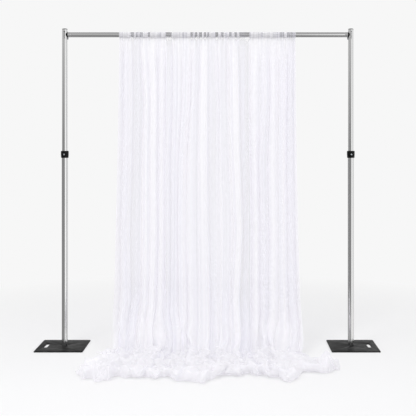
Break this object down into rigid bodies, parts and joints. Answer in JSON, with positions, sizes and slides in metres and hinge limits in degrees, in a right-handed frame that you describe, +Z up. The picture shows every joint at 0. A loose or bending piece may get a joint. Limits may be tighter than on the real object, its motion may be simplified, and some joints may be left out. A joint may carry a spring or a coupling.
{
  "type": "pipe and drape backdrop",
  "caption": "Free-standing backdrop: telescoping uprights on flat bases, a hooked crossbar, and a sheer gathered drape that spills onto the floor.",
  "frame": {"origin": "on the floor, under the middle of the whole backdrop with its drape spread on the floor in front", "axes": "+X to the right along the crossbar, +Y to the back, away from the drape on the floor, +Z up"},
  "size_m": [2.878, 1.4136, 2.709],
  "materials": {
    "satin_aluminium": "satin clear-anodised tube with fine lengthwise drawing lines",
    "black_powder_coat": "fine-textured charcoal powder coat over steel plate, slightly glossy",
    "black_nylon": "moulded black nylon with a soft sheen",
    "bright_steel": "bright zinc-plated steel",
    "plain_steel": "plain hardened steel, lightly oiled",
    "sheer_fabric": "sheer white voile, semi-transparent with a fine plain weave"
  },
  "bodies": {
    "left_stand": {"left_lower_tube": "satin_aluminium", "left_collar_body": "black_nylon", "left_collar_cap": "black_nylon", "left_collar_rivet": "bright_steel", "left_lock_spring": "plain_steel"},
    "left_base": {"left_base_plate": "black_powder_coat", "left_base_spigot": "bright_steel", "left_spigot_bolt": "bright_steel"},
    "left_lock": {"left_lock_plate": "plain_steel", "left_release_button": "bright_steel"},
    "left_mast": {"left_upper_tube": "satin_aluminium", "left_top_cap": "black_nylon", "left_guide_bush": "black_nylon"},
    "right_stand": {"right_lower_tube": "satin_aluminium", "right_collar_body": "black_nylon", "right_collar_cap": "black_nylon", "right_collar_rivet": "bright_steel", "right_lock_spring": "plain_steel"},
    "right_base": {"right_base_plate": "black_powder_coat", "right_base_spigot": "bright_steel", "right_spigot_bolt": "bright_steel"},
    "right_lock": {"right_lock_plate": "plain_steel", "right_release_button": "bright_steel"},
    "right_mast": {"right_upper_tube": "satin_aluminium", "right_top_cap": "black_nylon", "right_guide_bush": "black_nylon"},
    "crossbar": {"crossbar_left_tube": "satin_aluminium", "crossbar_right_tube": "satin_aluminium", "joiner_sleeve": "satin_aluminium", "joiner_inner_rivet": "bright_steel", "joiner_outer_rivet": "bright_steel", "joiner_spring": "plain_steel", "left_end_plug": "black_nylon", "left_hook": "plain_steel", "left_hook_pin": "bright_steel", "right_end_plug": "black_nylon", "right_hook": "plain_steel", "right_hook_pin": "bright_steel"},
    "joiner_snap": {"joiner_button": "bright_steel"},
    "drape_header": {"drape_pocket": "sheer_fabric", "drape_panel": "sheer_fabric"},
    "drape_hem": {"drape_puddle": "sheer_fabric"}
  },
  "joints": [
    {"name": "left_base_swivel", "type": "hinge", "parent": "left_stand", "child": "left_base", "pos_m": [-1.219, 0.5038, 0], "axis": [0, 0, 1], "continuous": true},
    {"name": "left_lock_press", "type": "slide", "parent": "left_stand", "child": "left_lock", "axis": [0, 1, 0], "range_m": [0, 0.0024], "stiffness_N_per_m": 2500, "springref_m": -0.002, "deforming": ["left_lock_spring"]},
    {"name": "left_height", "type": "slide", "parent": "left_stand", "child": "left_mast", "axis": [0, 0, 1], "range_m": [-0.88, 0.339]},
    {"name": "crossbar_lift", "type": "slide", "parent": "left_mast", "child": "crossbar", "axis": [0, 0, 1], "range_m": [0, 0.026]},
    {"name": "right_unhook", "type": "slide", "parent": "crossbar", "child": "right_mast", "axis": [0, 0, -1], "range_m": [0, 0.026]},
    {"name": "right_height", "type": "slide", "parent": "right_mast", "child": "right_stand", "axis": [0, 0, -1], "range_m": [-0.88, 0.339]},
    {"name": "right_base_swivel", "type": "hinge", "parent": "right_stand", "child": "right_base", "pos_m": [1.219, 0.5038, 0], "axis": [0, 0, 1], "continuous": true},
    {"name": "right_lock_press", "type": "slide", "parent": "right_stand", "child": "right_lock", "axis": [0, 1, 0], "range_m": [0, 0.0024], "stiffness_N_per_m": 2500, "springref_m": -0.002, "deforming": ["right_lock_spring"]},
    {"name": "joiner_press", "type": "slide", "parent": "crossbar", "child": "joiner_snap", "axis": [0, -1, 0], "range_m": [0, 0.0032], "stiffness_N_per_m": 1500, "springref_m": -0.003, "deforming": ["joiner_spring"]},
    {"name": "drape_slide", "type": "slide", "parent": "crossbar", "child": "drape_header", "axis": [1, 0, 0], "range_m": [-0.05, 0.05]},
    {"name": "hem_drop", "type": "slide", "parent": "drape_header", "child": "drape_hem", "axis": [0, 0, 1], "range_m": [-0.339, 0.88], "deforming": ["drape_panel"]}
  ],
  "couplings": [
    {"joint": "right_height", "follows": "left_height", "ratio": 1},
    {"joint": "right_unhook", "follows": "crossbar_lift", "ratio": 1},
    {"joint": "hem_drop", "follows": "left_height", "ratio": -1}
  ]
}
